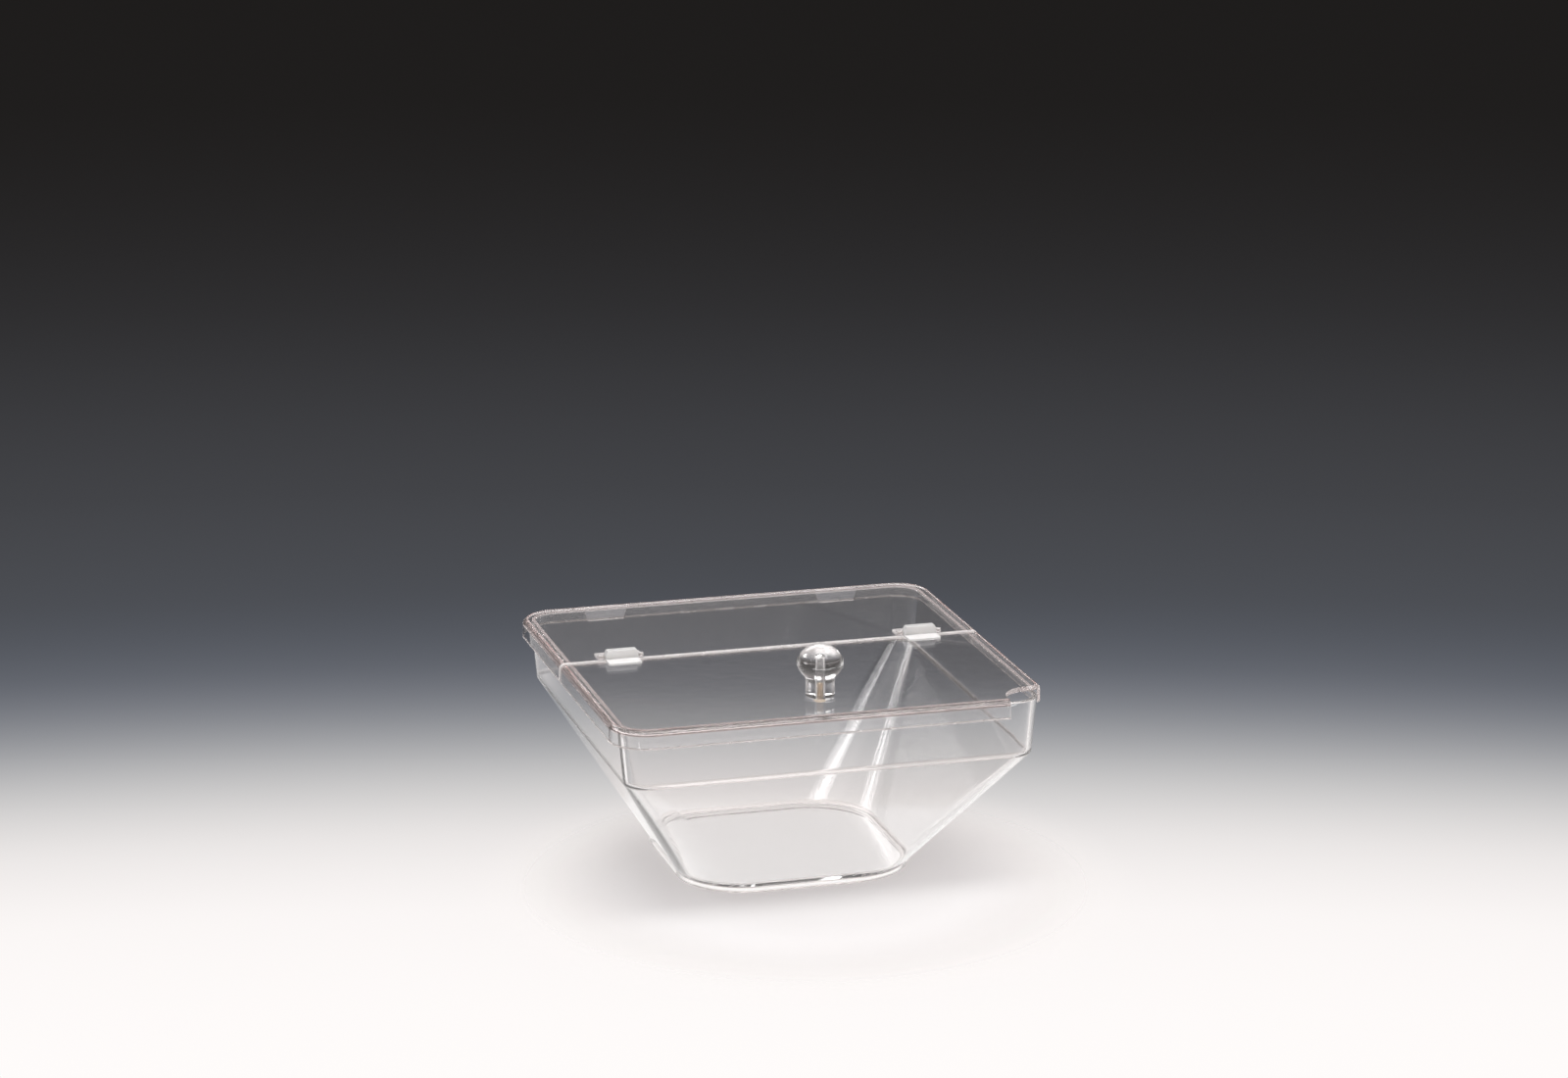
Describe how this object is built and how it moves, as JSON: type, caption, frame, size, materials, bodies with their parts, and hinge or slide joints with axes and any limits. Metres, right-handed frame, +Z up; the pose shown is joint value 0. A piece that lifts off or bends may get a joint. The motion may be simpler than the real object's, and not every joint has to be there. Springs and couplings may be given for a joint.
{
  "type": "lidded storage bowl",
  "caption": "Square clear acrylic storage bowl with sloping sides, a lid with a hinged front flap, a ball knob and a corner notch for a spoon.",
  "frame": {"origin": "middle of the foot, on the resting plane", "axes": "+Z up, -Y towards the front, where the flap opens, +X to the right seen from the front"},
  "size_m": [0.262, 0.262, 0.1554],
  "materials": {
    "clear_acrylic": "clear, polished, moulded",
    "hinge_acrylic": "clear, moulded, faintly cloudy where bonded",
    "knob_acrylic": "clear, polished, moulded solid",
    "pin_steel": "drawn stainless wire",
    "screw_steel": "bright nickel plate"
  },
  "bodies": {
    "bowl": {"bowl": "clear_acrylic"},
    "lid": {"rear_lid": "clear_acrylic", "hinge_rear_left": "hinge_acrylic", "hinge_rear_right": "hinge_acrylic", "hinge_pin_left": "pin_steel", "hinge_pin_right": "pin_steel"},
    "flap": {"front_flap": "clear_acrylic", "hinge_front_left": "hinge_acrylic", "hinge_front_right": "hinge_acrylic", "knob": "knob_acrylic", "knob_screw": "screw_steel"}
  },
  "joints": [
    {"name": "lid_lift", "type": "slide", "parent": "bowl", "child": "lid", "axis": [0, 0, 1], "range_m": [0, 0.06]},
    {"name": "flap_hinge", "type": "hinge", "parent": "lid", "child": "flap", "pos_m": [0, 0.0144, 0.126], "axis": [-1, 0, 0], "range_deg": [0, 100]}
  ]
}
